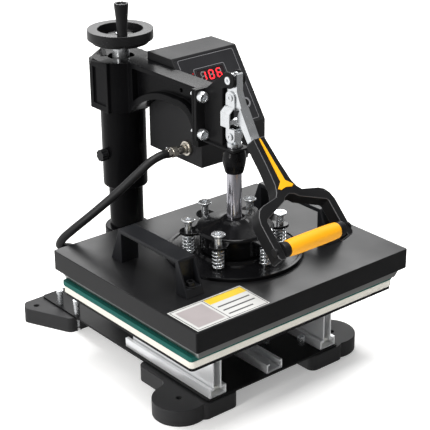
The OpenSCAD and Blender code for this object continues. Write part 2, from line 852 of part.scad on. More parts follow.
// One joggled plate of the link, on the side sx
module link_plate(sx) {
    y0 = -toggle_y;
    half = 9.5;
    plate_t = link_out - link_in;
    inner = sx > 0 ? link_in : -link_out;
    module strip(x, z0, z1) {
        translate([sx * (x + plate_t / 2) - plate_t / 2, y0 - half, z0]) cube([plate_t, 2 * half, z1 - z0]);
    }
    module slant(xa, za, xb, zb) {
        translate([0, y0 + half, 0]) rotate([90, 0, 0]) linear_extrude(2 * half)
            polygon([[sx * xa, za], [sx * (xa + plate_t), za], [sx * (xb + plate_t), zb], [sx * xb, zb]]);
    }
    for (z = [clevis_z, crank_z]) rod_x(inner, inner + plate_t, y0, z, half);
    strip(link_in, clevis_z, clevis_z + 13);
    slant(link_in, clevis_z + 12.9, link_bulge, clevis_z + 17);
    strip(link_bulge, clevis_z + 16.9, clevis_z + 38);
    slant(link_bulge, clevis_z + 37.9, link_in, clevis_z + 46);
    strip(link_in, clevis_z + 45.9, crank_z);
}

module toggle_link() {
    color("#c6cace") difference() {
        union() {
            link_plate(-1);
            link_plate(1);
            translate([-link_bulge - 1, -toggle_y - 3, clevis_z + 19]) cube([2 * link_bulge + 2, 6, 6]);
            for (x = [-link_out - 1.4, link_out]) rod_x(x, x + 1.4, -toggle_y, crank_z, 5.4);
        }
        rod_x(-20, 20, -toggle_y, clevis_z, pin_r + 0.08);
        rod_x(-link_out - 2, -link_out - 0.4, -toggle_y, crank_z, 2.2);
    }
}

// Channel lever: two cheeks, a face strip and a tang inside the handle
module lever() {
    y0 = -toggle_y;
    color("#c9ccd0") difference() {
        union() {
            for (x = [-lever_half, lever_half - 2.6]) side_view(x, x + 2.6) lever_cheek();
            side_view(-lever_half, lever_half) polygon([[y0 - 10, 466.5], [y0 - 12.5, 465], [y0 - 12.5, 440],
                [y0 - 23, 416], [y0 - 20.6, 415], [y0 - 10, 439.5]]);
            side_view(-7.6, 7.6) polygon([[y0 - 22, 418.5], [y0 - 46, 378.4],
                [y0 - 43.6, 377], [y0 - 19.6, 417]]);
            for (x = [-7.6, 5]) side_view(x, x + 2.6) polygon([[y0 - 22, 418], [y0 - 46, 378.4],
                [y0 - 38, 371], [y0 - 14, 404]]);
            handle_slab(tang_drop, tang_t) translate([-tang_half, 76]) square([2 * tang_half, 50]);
        }
        rod_x(-20, 20, y0, pivot_z, pin_r + 0.05);
        rod_x(-20, 20, y0, crank_z, pin_r + 0.05);
    }
}

module lever_cheek() {
    y0 = -toggle_y;
    translate([y0, crank_z]) circle(8.5);
    translate([y0, pivot_z]) circle(9.5);
    translate([y0 - 9, crank_z]) square([17, pivot_z - crank_z]);
    polygon([[y0 - 8, 464], [y0 - 12.4, 464], [y0 - 12.4, 440], [y0 - 23, 416], [y0 - 10, 412], [y0 - 2, 424]]);
}

// Half outline of the handle face, s down the handle and x across
handle_outer = [[10, 88], [12, 130], [15, 160], [19, 171], [24, 177], [52, 183], [60, 187],
    [66, 195], [69, 206], [69, 258], [66, 262], [58, 262]];
handle_inner = [[57, 254], [57, 206], [54.5, 202.5], [14, 186], [9, 181], [0, 178]];

module handle_outline() {
    right = concat(handle_outer, handle_inner);
    polygon(concat(right, [for (i = [len(right) - 2:-1:0]) [-right[i][0], right[i][1]]]));
}

// A face down the handle: top at drop below the pivot's level, thickness t
module handle_slab(drop, t) {
    translate([0, -toggle_y, pivot_z]) rotate([handle_tilt, 0, 0])
        translate([0, 0, -drop - t]) linear_extrude(t) mirror([0, 1]) children();
}

module handle_body() {
    color("#2c2c2e") difference() {
        handle_slab(face_drop, handle_t) handle_outline();
        handle_slab(tang_drop - slack, handle_t)
            translate([-tang_half - slack, 70]) square([2 * (tang_half + slack), 60]);
        handle_slab(face_drop - 1, 2) inlay_outline();
        for (x = [-arm_out - 1, arm_in - 1])
            on_grip_axis(x) cylinder(h = arm_out - arm_in + 2, r = 6.1);
    }
}

// A child along X on the axis of the grip, starting at x
module on_grip_axis(x) {
    translate([0, -toggle_y, pivot_z]) rotate([handle_tilt, 0, 0])
        translate([x, -grip_s, -grip_drop]) rotate([0, 90, 0]) children();
}

// Coloured stripe let into the neck of the handle
module inlay_outline() {
    polygon([[-1.2, 90], [1.2, 90], [4.2, 158], [14, 167], [10, 170], [4, 168.5], [0, 168],
        [-4, 168.5], [-10, 170], [-14, 167], [-4.2, 158]]);
}

// Grip bar with its tube, between the two handle arms
module grip() {
    color("#f2a613") {
        on_grip_axis(-grip_half) cylinder(h = 2 * grip_half, r = grip_r, $fn = 64);
        on_grip_axis(-arm_in + slack) cylinder(h = 2 * (arm_in - slack), r = grip_r - 1.4, $fn = 64);
        on_grip_axis(-arm_out + 2) cylinder(h = 2 * (arm_out - 2), r = 6);
    }
}

// ---------- cable ----------

// Round tube swept along a list of points
function unit(v) = v / norm(v);
function route_dir(p, i) = unit(p[min(i + 1, len(p) - 1)] - p[max(i - 1, 0)]);
function ring_at(p, i, r, n) =
    let (t = route_dir(p, i), side = unit(cross(t, [0.3, 0.9, 0.31])), up = cross(side, t))
    [for (k = [0:n - 1]) p[i] + r * (cos(360 * k / n) * side + sin(360 * k / n) * up)];

module swept_tube(p, r, n) {
    count = len(p);
    points = [for (i = [0:count - 1]) each ring_at(p, i, r, n)];
    sides = [for (i = [0:count - 2], k = [0:n - 1])
        [i * n + k, i * n + (k + 1) % n, (i + 1) * n + (k + 1) % n, (i + 1) * n + k]];
    first = [for (k = [0:n - 1]) n - 1 - k];
    last = [for (k = [0:n - 1]) (count - 1) * n + k];
    polyhedron(points, concat(sides, [first], [last]), convexity = 6);
}

module heater_cable() {
    color("#1c1c1c") swept_tube(cable_route, cable_r, cable_sides);
}

foot_front_left();
foot_front_right();
foot_rear_left();
foot_rear_right();
base_plate();
rail_left();
rail_middle();
rail_right();
post();
post_collar();
collar_bolts();
foot_screws();
bed_plate();
sponge_pad();
press_pad();
support_left();
support_right();
slider_shoes();
bed_screws();
swing_nut();
arm_casting();
toggle_bracket();
bracket_screws();
guide_bush();
pivot_pin();
box_shell();
box_panel();
control_board();
power_inlet();
fuse_holder();
cable_socket();
cable_plug();
box_screws();
lock_knob();
set_button();
down_button();
up_button();
power_switch();
pressure_screw();
handwheel();
crank_pin();
crank_grip();
lift_rod();
rod_clevis();
spider_hub();
spring_bolts();
springs();
mounting_disc();
platen_cover();
insulation();
heating_element();
heat_plate();
guard_left();
guard_right();
cable_gland();
toggle_link();
lever();
handle_body();
grip();
heater_cable();
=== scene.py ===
"""Looks for the swing-away heat press.

Lengths and places of the press are in millimetres, in the frame of the CAD parts, and the mesh helpers turn them
into metres. The camera, the lights and the floor are in metres. Angles named in degrees are turned into radians
where they are used.
"""
import json
import math
import bmesh
import bpy
from mathutils import Matrix, Vector


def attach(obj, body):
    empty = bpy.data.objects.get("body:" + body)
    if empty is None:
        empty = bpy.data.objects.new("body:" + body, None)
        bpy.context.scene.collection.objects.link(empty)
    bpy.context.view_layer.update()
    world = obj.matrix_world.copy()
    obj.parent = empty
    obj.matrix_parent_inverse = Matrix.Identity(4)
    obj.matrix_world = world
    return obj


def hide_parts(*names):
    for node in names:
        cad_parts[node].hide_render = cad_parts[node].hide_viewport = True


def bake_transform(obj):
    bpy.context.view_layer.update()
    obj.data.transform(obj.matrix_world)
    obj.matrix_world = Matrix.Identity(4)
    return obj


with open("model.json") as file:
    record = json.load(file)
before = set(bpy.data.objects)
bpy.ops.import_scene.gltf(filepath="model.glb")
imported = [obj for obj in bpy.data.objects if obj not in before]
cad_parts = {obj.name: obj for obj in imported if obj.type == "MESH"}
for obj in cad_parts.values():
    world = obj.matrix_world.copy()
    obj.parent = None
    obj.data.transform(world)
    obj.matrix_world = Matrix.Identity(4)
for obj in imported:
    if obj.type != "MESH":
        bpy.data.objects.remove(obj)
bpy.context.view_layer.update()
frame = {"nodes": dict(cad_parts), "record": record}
MM = 0.001  # a millimetre in metres
NODES = frame["nodes"]
BODY_OF = {n: b for b, members in frame["record"]["behaviour"]["bodies"].items() for n in members}


# ---------- camera, floor and light ----------

CAMERA_PLACE = (-1.1491, -1.4823, 1.0277)
CAMERA_AZIMUTH, CAMERA_ELEVATION, CAMERA_ROLL = -39.488, 23.718, -0.505
SENSOR_WIDTH = 36.0
FOCAL_LENGTH = 111.583

# The room lights and reflects from one side: dark at the front left, bright at the back right.
ROOM_TOWARDS = (-0.35, 0.9, 0.0)
ROOM_EDGES = (-0.5, 0.9)
ROOM_LEVELS = (0.22, 1.0)

# Name, place, target, width and height, power, colour.
SOFTBOXES = (
    ("left_softbox", (-2.4, -0.4, 1.3), (0, 0, 0.2), (0.4, 1.6), 34, (1, 0.99, 0.98)),
    ("top_softbox", (0.0, -0.3, 2.8), (0, 0, 0.0), (1.5, 1.5), 90, (1, 1, 1)),
    ("right_softbox", (2.6, 0.5, 1.4), (0, 0, 0.2), (0.3, 1.4), 12, (1, 1, 1)),
    ("back_softbox", (1.5, 1.9, 1.75), (0, 0.1, 0.4), (1.7, 0.9), 26, (1, 1, 1)),
)
FLOOR_HALF = 6.0
FLOOR_GLOW = 0.3


def make_camera():
    azimuth, elevation, roll = (math.radians(a) for a in (CAMERA_AZIMUTH, CAMERA_ELEVATION, CAMERA_ROLL))
    back = Vector((math.sin(azimuth) * math.cos(elevation), -math.cos(azimuth) * math.cos(elevation),
                   math.sin(elevation)))
    right = Vector((math.cos(azimuth), math.sin(azimuth), 0))
    up = back.cross(right)
    right, up = (right * math.cos(roll) + up * math.sin(roll), up * math.cos(roll) - right * math.sin(roll))
    data = bpy.data.cameras.new("camera")
    data.sensor_width = SENSOR_WIDTH
    data.lens = FOCAL_LENGTH
    data.clip_start, data.clip_end = 0.1, 30
    cam = bpy.data.objects.new("camera", data)
    turn = Matrix((right, up, back)).transposed().to_4x4()
    cam.matrix_world = Matrix.Translation(CAMERA_PLACE) @ turn
    bpy.context.scene.collection.objects.link(cam)
    bpy.context.scene.camera = cam


def make_softbox(name, place, target, size, power, colour):
    data = bpy.data.lights.new(name, "AREA")
    data.shape = "RECTANGLE"
    data.size, data.size_y = size
    data.energy = power
    data.color = colour
    lamp = bpy.data.objects.new(name, data)
    lamp.location = place
    lamp.rotation_mode = "QUATERNION"
    lamp.rotation_quaternion = (Vector(target) - Vector(place)).to_track_quat("-Z", "Y")
    bpy.context.scene.collection.objects.link(lamp)


def make_room():
    """A world that is graded for light and reflections, and plain white behind the press."""
    world = bpy.data.worlds.new("studio")
    world.use_nodes = True
    tree = world.node_tree
    room = tree.nodes["Background"]
    room.inputs["Strength"].default_value = 1.0
    place = tree.nodes.new("ShaderNodeTexCoord")
    side = tree.nodes.new("ShaderNodeVectorMath")
    side.operation = "DOT_PRODUCT"
    side.inputs[1].default_value = ROOM_TOWARDS
    ramp = tree.nodes.new("ShaderNodeMapRange")
    ramp.interpolation_type = "SMOOTHSTEP"
    ramp.inputs["From Min"].default_value, ramp.inputs["From Max"].default_value = ROOM_EDGES
    ramp.inputs["To Min"].default_value, ramp.inputs["To Max"].default_value = ROOM_LEVELS
    tree.links.new(place.outputs["Generated"], side.inputs[0])
    tree.links.new(side.outputs["Value"], ramp.inputs["Value"])
    tree.links.new(ramp.outputs["Result"], room.inputs["Color"])
    backdrop = tree.nodes.new("ShaderNodeBackground")
    backdrop.inputs["Color"].default_value = (1, 1, 1, 1)
    rays = tree.nodes.new("ShaderNodeLightPath")
    choose = tree.nodes.new("ShaderNodeMixShader")
    tree.links.new(rays.outputs["Is Camera Ray"], choose.inputs[0])
    tree.links.new(room.outputs[0], choose.inputs[1])
    tree.links.new(backdrop.outputs[0], choose.inputs[2])
    tree.links.new(choose.outputs[0], tree.nodes["World Output"].inputs["Surface"])
    bpy.context.scene.world = world
    bpy.context.scene.view_settings.view_transform = "Standard"


def make_floor():
    """A sheet of white paper that takes the shadows and is left out of reflections."""
    mesh = bpy.data.meshes.new("floor")
    corners = [(x * FLOOR_HALF, y * FLOOR_HALF, 0) for x, y in ((-1, -1), (1, -1), (1, 1), (-1, 1))]
    mesh.from_pydata(corners, [], [(0, 1, 2, 3)])
    floor = bpy.data.objects.new("floor", mesh)
    bpy.context.scene.collection.objects.link(floor)
    floor.visible_glossy = False
    mesh.materials.append(finish("floor_paper", (0.93, 0.925, 0.915), 0.9, shade=0.005, bump=0.02))
    glow = mesh.materials[0].node_tree.nodes["Principled BSDF"]
    glow.inputs["Emission Color"].default_value = (1, 1, 1, 1)
    glow.inputs["Emission Strength"].default_value = FLOOR_GLOW


# ---------- materials ----------

# Sockets of the colour mix node, whose names repeat.
MIX_SHARE, MIX_FIRST, MIX_SECOND, MIX_RESULT = 0, 6, 7, 2


def link(tree, a, out, b, into):
    tree.links.new(a.outputs[out], b.inputs[into])


def finish(name, base, rough, metal=0.0, grain=700.0, bump=0.12, depth=0.12, shade=0.12, patch=14.0,
           rough_var=0.06, stretch=(1, 1, 1), coat=0.0, specular=0.5, pattern="noise", sheen=0.0, second=None):
    """A procedural finish: patchy colour and roughness over a fine grain in the bump.

    depth is the grain's height in millimetres. second is a colour for the low parts of the grain, in place of patches.
    """
    m = bpy.data.materials.new(name)
    m.use_nodes = True
    tree = m.node_tree
    bsdf = tree.nodes["Principled BSDF"]
    bsdf.inputs["Metallic"].default_value = metal
    bsdf.inputs["Specular IOR Level"].default_value = specular
    bsdf.inputs["Coat Weight"].default_value = coat
    bsdf.inputs["Coat Roughness"].default_value = 0.12
    bsdf.inputs["Sheen Weight"].default_value = sheen
    place = tree.nodes.new("ShaderNodeTexCoord")
    mapping = tree.nodes.new("ShaderNodeMapping")
    mapping.inputs["Scale"].default_value = stretch
    link(tree, place, "UV" if pattern == "braid" else "Object", mapping, "Vector")
    patches = tree.nodes.new("ShaderNodeTexNoise")
    patches.inputs["Scale"].default_value = patch
    patches.inputs["Detail"].default_value = 6
    link(tree, place, "Object", patches, "Vector")
    fine = make_grain(tree, mapping, pattern, grain)
    mix = tree.nodes.new("ShaderNodeMix")
    mix.data_type = "RGBA"
    dark = second or tuple(c * (1 - shade) for c in base)
    mix.inputs[MIX_FIRST].default_value = (*dark, 1)
    mix.inputs[MIX_SECOND].default_value = (*(min(1, c * (1 + shade)) for c in base), 1)
    source, low, high = (fine, 0.1, 0.9) if second else ((patches, 0), 0.3, 0.7)
    ramp = tree.nodes.new("ShaderNodeMapRange")
    ramp.inputs["From Min"].default_value, ramp.inputs["From Max"].default_value = low, high
    link(tree, *source, ramp, "Value")
    link(tree, ramp, "Result", mix, MIX_SHARE)
    link(tree, mix, MIX_RESULT, bsdf, "Base Color")
    gloss = tree.nodes.new("ShaderNodeMapRange")
    gloss.inputs["From Min"].default_value, gloss.inputs["From Max"].default_value = 0.3, 0.7
    gloss.inputs["To Min"].default_value = max(0.03, rough - rough_var)
    gloss.inputs["To Max"].default_value = min(1.0, rough + rough_var)
    link(tree, patches, 0, gloss, "Value")
    link(tree, gloss, "Result", bsdf, "Roughness")
    relief = tree.nodes.new("ShaderNodeBump")
    relief.inputs["Strength"].default_value = bump
    relief.inputs["Distance"].default_value = depth * MM
    link(tree, *fine, relief, "Height")
    link(tree, relief, "Normal", bsdf, "Normal")
    return m


def make_grain(tree, mapping, pattern, grain):
    """The fine pattern of a finish, as (node, output)."""
    if pattern in ("pebble", "cells"):
        cells = tree.nodes.new("ShaderNodeTexVoronoi")
        cells.feature = "F1" if pattern == "pebble" else "DISTANCE_TO_EDGE"
        cells.inputs["Scale"].default_value = grain
        link(tree, mapping, "Vector", cells, "Vector")
        return cells, "Distance"
    if pattern in ("weave", "braid"):
        threads = (("X", mapping), ("Y", mapping))
        if pattern == "braid":
            mirrored = tree.nodes.new("ShaderNodeMapping")
            mirrored.inputs["Scale"].default_value = (-1, 1, 1)
            link(tree, mapping, "Vector", mirrored, "Vector")
            threads = (("DIAGONAL", mapping), ("DIAGONAL", mirrored))
        both = tree.nodes.new("ShaderNodeMath")
        both.operation = "MAXIMUM"
        for i, (direction, source) in enumerate(threads):
            wave = tree.nodes.new("ShaderNodeTexWave")
            wave.bands_direction = direction
            wave.inputs["Scale"].default_value = grain
            link(tree, source, "Vector", wave, "Vector")
            link(tree, wave, "Fac", both, i)
        return both, "Value"
    noise = tree.nodes.new("ShaderNodeTexNoise")
    noise.inputs["Scale"].default_value = grain
    noise.inputs["Detail"].default_value = 3
    link(tree, mapping, "Vector", noise, "Vector")
    return noise, 0


def glowing(name, colour, strength):
    """A finish that gives off light of its own colour."""
    m = finish(name, colour, 0.3, shade=0.05)
    bsdf = m.node_tree.nodes["Principled BSDF"]
    bsdf.inputs["Emission Color"].default_value = (*colour, 1)
    bsdf.inputs["Emission Strength"].default_value = strength
    return m


LOOKS = {
    "casting": finish("satin_black_casting", (0.003, 0.003, 0.0034), 0.2, grain=520, bump=0.16, depth=0.2,
                      specular=0.07),
    "gloss": finish("gloss_black_enamel", (0.004, 0.004, 0.0045), 0.2, grain=300, bump=0.12, depth=0.2, coat=0.05,
                    specular=0.14),
    "cover": finish("satin_black_powder_coat", (0.006, 0.006, 0.0065), 0.34, grain=1400, bump=0.14, depth=0.08,
                    rough_var=0.05, specular=0.24),
    "plate": finish("black_plate_paint", (0.008, 0.008, 0.0085), 0.36, grain=900, bump=0.15, depth=0.1,
                    specular=0.08),
    "foot": finish("moulded_foot_grey", (0.02, 0.02, 0.021), 0.5, grain=650, bump=0.3, depth=0.2, pattern="pebble",
                   specular=0.25),
    "aluminium": finish("extruded_aluminium", (0.84, 0.85, 0.86), 0.3, 0.6, grain=900, bump=0.04, depth=0.05,
                        stretch=(1, 0.012, 1), shade=0.02, rough_var=0.01),
    "zinc": finish("bright_zinc", (0.86, 0.88, 0.9), 0.25, 0.9, grain=420, bump=0.06, depth=0.06, shade=0.06,
                   patch=90),
    "zinc_plate": finish("zinc_plated_sheet", (0.84, 0.86, 0.88), 0.26, 1.0, grain=300, bump=0.07, depth=0.08,
                         shade=0.07, patch=60),
    "chrome": finish("ground_chrome_rod", (0.6, 0.59, 0.64), 0.14, 1.0, grain=1200, bump=0.05, depth=0.03,
                     stretch=(0.05, 0.05, 1), rough_var=0.01, shade=0.04),
    "nickel": finish("satin_nickel", (0.66, 0.62, 0.55), 0.26, 1.0, grain=800, bump=0.04, depth=0.05, shade=0.1),
    "brass": finish("turned_brass", (0.6, 0.43, 0.18), 0.3, 1.0, grain=900, bump=0.1, depth=0.05),
    "teal": finish("teal_silicone_pad", (0.001, 0.085, 0.07), 0.6, grain=620, bump=0.3, depth=0.15, pattern="weave",
                   shade=0.08, specular=0.2),
    "sponge": finish("white_sponge", (0.76, 0.75, 0.7), 0.95, grain=520, bump=0.7, depth=0.5, pattern="cells",
                     shade=0.06, second=(0.6, 0.58, 0.52), sheen=0.2),
    "nylon": finish("white_nylon", (0.75, 0.75, 0.7), 0.5, grain=500),
    "box": finish("dark_grey_texture_paint", (0.022, 0.022, 0.023), 0.42, grain=1500, bump=0.35, depth=0.12,
                  specular=0.07),
    "film": finish("panel_film", (0.02, 0.02, 0.022), 0.38, grain=1800, bump=0.12, depth=0.05, specular=0.2),
    "line": finish("panel_line", (0.2, 0.2, 0.21), 0.5, grain=900),
    "board": finish("circuit_board", (0.02, 0.13, 0.06), 0.4, grain=500),
    "black": finish("matte_black_plastic", (0.006, 0.006, 0.0065), 0.4, grain=900, bump=0.25, depth=0.1,
                    specular=0.25),
    "guard": finish("moulded_black_guard", (0.008, 0.0085, 0.01), 0.34, grain=700, bump=0.2, depth=0.1,
                    specular=0.28),
    "handle": finish("handle_black", (0.005, 0.005, 0.0055), 0.38, grain=900, bump=0.3, depth=0.15,
                     pattern="pebble", specular=0.15),
    "handle_face": finish("handle_face_grey", (0.007, 0.007, 0.0075), 0.42, grain=800, bump=0.45, depth=0.2,
                          pattern="pebble", specular=0.15),
    # A lighter grey for the handle's rims and rounded edges: a painted highlight.
    "handle_highlight_rim": finish("rim_painted_highlight", (0.05, 0.05, 0.052), 0.3, grain=900, bump=0.2, depth=0.1,
                         pattern="pebble"),
    # The edge finishes below are lighter and glossier than the finishes of their parts: painted highlights on the
    # rounded edges.
    "black_highlight_edge": finish("black_rounding_painted_highlight", (0.03, 0.03, 0.031), 0.24, grain=600, bump=0.1, depth=0.1),
    "box_highlight_edge": finish("grey_rounding_painted_highlight", (0.06, 0.06, 0.062), 0.32, grain=1200, bump=0.2, depth=0.1),
    "cover_highlight_edge": finish("cover_rounding_painted_highlight", (0.055, 0.055, 0.058), 0.26, grain=900, bump=0.08, depth=0.06),
    "guard_highlight_edge": finish("guard_rounding_painted_highlight", (0.03, 0.031, 0.034), 0.26, grain=700, bump=0.15, depth=0.1),
    "foot_highlight_edge": finish("foot_rounding_painted_highlight", (0.04, 0.04, 0.042), 0.36, grain=650, bump=0.2, depth=0.15,
                        pattern="pebble"),
    "yellow": finish("yellow_inlay", (0.8, 0.38, 0.004), 0.42, grain=900, bump=0.1, shade=0.04, specular=0.3),
    "grip": finish("yellow_grip_foam", (0.78, 0.34, 0.003), 0.45, grain=1100, bump=0.3, depth=0.15, shade=0.06,
                   pattern="pebble", specular=0.3),
    "wheel": finish("handwheel_satin", (0.008, 0.008, 0.0085), 0.28, grain=500, bump=0.14, depth=0.15,
                    specular=0.25),
    "red": finish("red_rocker", (0.38, 0.012, 0.01), 0.25, grain=300, coat=0.4),
    "glass": finish("display_window", (0.012, 0.004, 0.005), 0.08, grain=200, bump=0.02, coat=0.8),
    "unlit": finish("unlit_segment", (0.16, 0.15, 0.15), 0.5, grain=600),
    "lit": glowing("lit_segment", (1.0, 0.02, 0.03), 1.6),
    "braid": finish("braided_sleeve", (0.008, 0.008, 0.0085), 0.5, grain=1.2, bump=0.35, depth=0.25, pattern="braid",
                    stretch=(6, 6, 1), shade=0.1, specular=0.35),
    "spring": finish("spring_wire", (0.84, 0.86, 0.88), 0.26, 1.0, grain=500, bump=0.08, depth=0.05, patch=120),
    "label": finish("label_white", (0.5, 0.5, 0.485), 0.4, grain=900, bump=0.05, shade=0.02),
    "label_yellow": finish("label_yellow", (0.6, 0.42, 0.02), 0.4, grain=900, bump=0.05, shade=0.03),
    "label_line": finish("label_line", (0.03, 0.03, 0.03), 0.5, grain=900),
    "label_shade": finish("label_shade", (0.3, 0.27, 0.27), 0.45, grain=900),
    "heat_plate": finish("cast_heat_plate", (0.42, 0.42, 0.41), 0.34, 1.0, grain=300, bump=0.2, depth=0.15),
    "wool": finish("mineral_wool", (0.62, 0.57, 0.42), 0.95, grain=260, bump=0.8, depth=0.6),
    "element": finish("element_sheath", (0.34, 0.31, 0.29), 0.4, 0.9, grain=400),
}


# ---------- mesh helpers ----------

SHARP_EDGE = 28  # degrees; a sharper edge of a CAD part is rounded off
WELD = 1e-6  # metres; closer points become one


def add(name, verts, faces, material, body, node=None, smooth=45, uvs=None, matrix=None):
    """Makes a mesh piece from millimetre points and lets it ride on a body."""
    mesh = bpy.data.meshes.new(name)
    place = matrix or Matrix.Identity(4)
    mesh.from_pydata([(place @ Vector(v)) * MM for v in verts], [], faces)
    return settle(name, mesh, material, body, node, smooth, uvs)


def settle(name, mesh, material, body, node=None, smooth=45, uvs=None):
    """Puts a finished mesh into the scene, on its body if it has one, in place of the CAD node it stands for."""
    mesh.validate()
    mesh.update()
    if uvs:
        layer = mesh.uv_layers.new(name="UVMap")
        for loop in mesh.loops:
            layer.data[loop.index].uv = uvs[loop.vertex_index]
    for m in material if isinstance(material, (list, tuple)) else [material]:
        mesh.materials.append(LOOKS[m])
    for poly in mesh.polygons:
        poly.use_smooth = True
    mesh.set_sharp_from_angle(angle=math.radians(smooth))
    obj = bpy.data.objects.new(name, mesh)
    bpy.context.scene.collection.objects.link(obj)
    flat = obj.modifiers.new("face normals", "WEIGHTED_NORMAL")
    flat.keep_sharp = True
    if body:
        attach(obj, body)
    if node:
        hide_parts(node)
    return obj


def refine(node, material, width, segments=2, edge=None, clamp=True):
    """The CAD node's own surface with its edges rounded off by width millimetres. If an edge finish is given, the
    roundings take it: it is lighter and glossier, a painted highlight along the edges.

    clamp keeps a rounding from running into the next one. Where small faces would shrink it to nothing, it is off.
    """
    bm = bmesh.new()
    bm.from_mesh(NODES[node].data)
    bmesh.ops.remove_doubles(bm, verts=bm.verts, dist=3e-6)
    bmesh.ops.dissolve_limit(bm, angle_limit=math.radians(0.5), verts=bm.verts, edges=bm.edges)
    bmesh.ops.bevel(bm, geom=sharp_edges(bm, SHARP_EDGE), offset=width * MM, segments=segments, profile=0.6,
                    affect="EDGES", clamp_overlap=clamp, material=1 if edge else 0)
    bmesh.ops.triangulate(bm, faces=[f for f in bm.faces if len(f.verts) > 4])
    mesh = bpy.data.meshes.new(node + "_look")
    bm.to_mesh(mesh)
    bm.free()
    mesh.materials.clear()
    obj = settle(node + "_look", mesh, [material, edge] if edge else material, BODY_OF[node], node, 40)


def sharp_edges(bm, angle):
    """The edges where two faces meet at more than angle degrees."""
    return [e for e in bm.edges if len(e.link_faces) == 2 and e.calc_face_angle(0) > math.radians(angle)]


def keep(node, material):
    """The CAD node as it is, with a better finish."""
    obj = NODES[node]
    if not obj.material_slots:
        obj.data.materials.append(LOOKS[material])
    for s in obj.material_slots:
        s.link = "OBJECT"
        s.material = LOOKS[material]


def turned(name, profile, material, body, matrix, node=None, steps=72, ripple=None):
    """A closed profile of (radius, height) pairs turned about the local Z axis.

    ripple(angle, radius, height) is what a point's radius grows by, for knurls and sockets.
    """
    verts, faces = [], []
    for i in range(steps):
        a = 2 * math.pi * i / steps
        for r, z in profile:
            k = r + (ripple(a, r, z) if ripple and r > 0.01 else 0)
            verts.append((k * math.cos(a), k * math.sin(a), z))
    n = len(profile)
    for i in range(steps):
        j = (i + 1) % steps
        for k in range(n):
            q = (k + 1) % n
            faces.append((i * n + k, j * n + k, j * n + q, i * n + q))
    return weld(add(name, verts, faces, material, body, node, 40, matrix=matrix))


def weld(obj):
    """Joins the points that meet on a turned piece's axis."""
    bm = bmesh.new()
    bm.from_mesh(obj.data)
    bmesh.ops.remove_doubles(bm, verts=bm.verts, dist=WELD)
    bmesh.ops.dissolve_degenerate(bm, edges=bm.edges, dist=WELD)
    bmesh.ops.recalc_face_normals(bm, faces=bm.faces)
    bm.to_mesh(obj.data)
    bm.free()
    return obj


def tube(name, path, radius, sides, material, body, node=None):
    """A round tube along a path of millimetre points, with flat ends and a UV that runs along it."""
    points = [Vector(p) for p in path]
    along = [0.0]
    for a, b in zip(points, points[1:]):
        along.append(along[-1] + (b - a).length)
    side = None
    verts, faces, uvs = [], [], []
    for i, p in enumerate(points):
        t = (points[min(i + 1, len(points) - 1)] - points[max(i - 1, 0)]).normalized()
        if side is None:
            side = t.orthogonal().normalized()
        side = (side - t * side.dot(t)).normalized()
        up = t.cross(side)
        for k in range(sides):
            a = 2 * math.pi * k / sides
            verts.append(p + radius * (math.cos(a) * side + math.sin(a) * up))
            uvs.append((k / sides, along[i] / (2 * math.pi * radius)))
    for i in range(len(points) - 1):
        for k in range(sides):
            q = (k + 1) % sides
            faces.append((i * sides + k, i * sides + q, (i + 1) * sides + q, (i + 1) * sides + k))
    faces.append(tuple(reversed(range(sides))))
    faces.append(tuple(range((len(points) - 1) * sides, len(points) * sides)))
    return add(name, verts, faces, material, body, node, 60, uvs)


def slab(name, outline, low, high, material, body, matrix, node=None, bevel=0.3, segments=2, rims=()):
    """An outline in the local XY plane made into a plate from low to high, with its edges rounded.

    Each of rims is (width, lift, material index): a step inwards from the top face's border.
    """
    bm = bmesh.new()
    top = bm.faces.new([bm.verts.new((x, y, high)) for x, y in outline])
    bm.normal_update()
    if top.normal.z < 0:
        top.normal_flip()
    bm.normal_update()
    top.material_index = 1 if rims else 0
    for depth_in, lift, index in rims:
        bmesh.ops.inset_region(bm, faces=[top], thickness=depth_in, depth=lift, use_even_offset=True)
        top.material_index = index
    bm.edges.ensure_lookup_table()
    wall = bmesh.ops.extrude_edge_only(bm, edges=[e for e in bm.edges if len(e.link_faces) == 1])["geom"]
    for f in wall:
        if isinstance(f, bmesh.types.BMFace):
            f.material_index = 0
    for v in wall:
        if isinstance(v, bmesh.types.BMVert):
            v.co.z = low
    bmesh.ops.holes_fill(bm, edges=[e for e in bm.edges if len(e.link_faces) == 1], sides=0)
    bmesh.ops.recalc_face_normals(bm, faces=bm.faces)
    if bevel:
        bm.normal_update()
        bmesh.ops.bevel(bm, geom=sharp_edges(bm, 50), offset=bevel, segments=segments, profile=0.5, affect="EDGES",
                        clamp_overlap=True, material=1 if rims else 0)
    bmesh.ops.triangulate(bm, faces=[f for f in bm.faces if len(f.verts) > 4])
    for v in bm.verts:
        v.co = (matrix @ v.co) * MM
    bmesh.ops.recalc_face_normals(bm, faces=bm.faces)
    mesh = bpy.data.meshes.new(name)
    bm.to_mesh(mesh)
    bm.free()
    return settle(name, mesh, material, body, node, 35)


def rounded(w, d, r, steps=6, cx=0.0, cy=0.0):
    """A w by d rectangle round (cx, cy) with corners of radius r."""
    points = []
    for k, (sx, sy) in enumerate(((1, 1), (-1, 1), (-1, -1), (1, -1))):
        for i in range(steps + 1):
            a = math.pi / 2 * (k + i / steps)
            points.append((cx + sx * (w / 2 - r) + r * math.cos(a), cy + sy * (d / 2 - r) + r * math.sin(a)))
    return points


def dense(loop, pitch, count=None):
    """A closed outline with points about every pitch millimetres, or count points in all."""
    lengths = [math.dist(loop[i], loop[(i + 1) % len(loop)]) for i in range(len(loop))]
    total = sum(lengths)
    n = count or int(total / pitch)
    out, i, start = [], 0, 0.0
    for k in range(n):
        target = total * k / n
        while start + lengths[i] < target:
            start += lengths[i]
            i += 1
        t = (target - start) / lengths[i] if lengths[i] else 0
        a, b = loop[i], loop[(i + 1) % len(loop)]
        out.append((a[0] + (b[0] - a[0]) * t, a[1] + (b[1] - a[1]) * t))
    return out


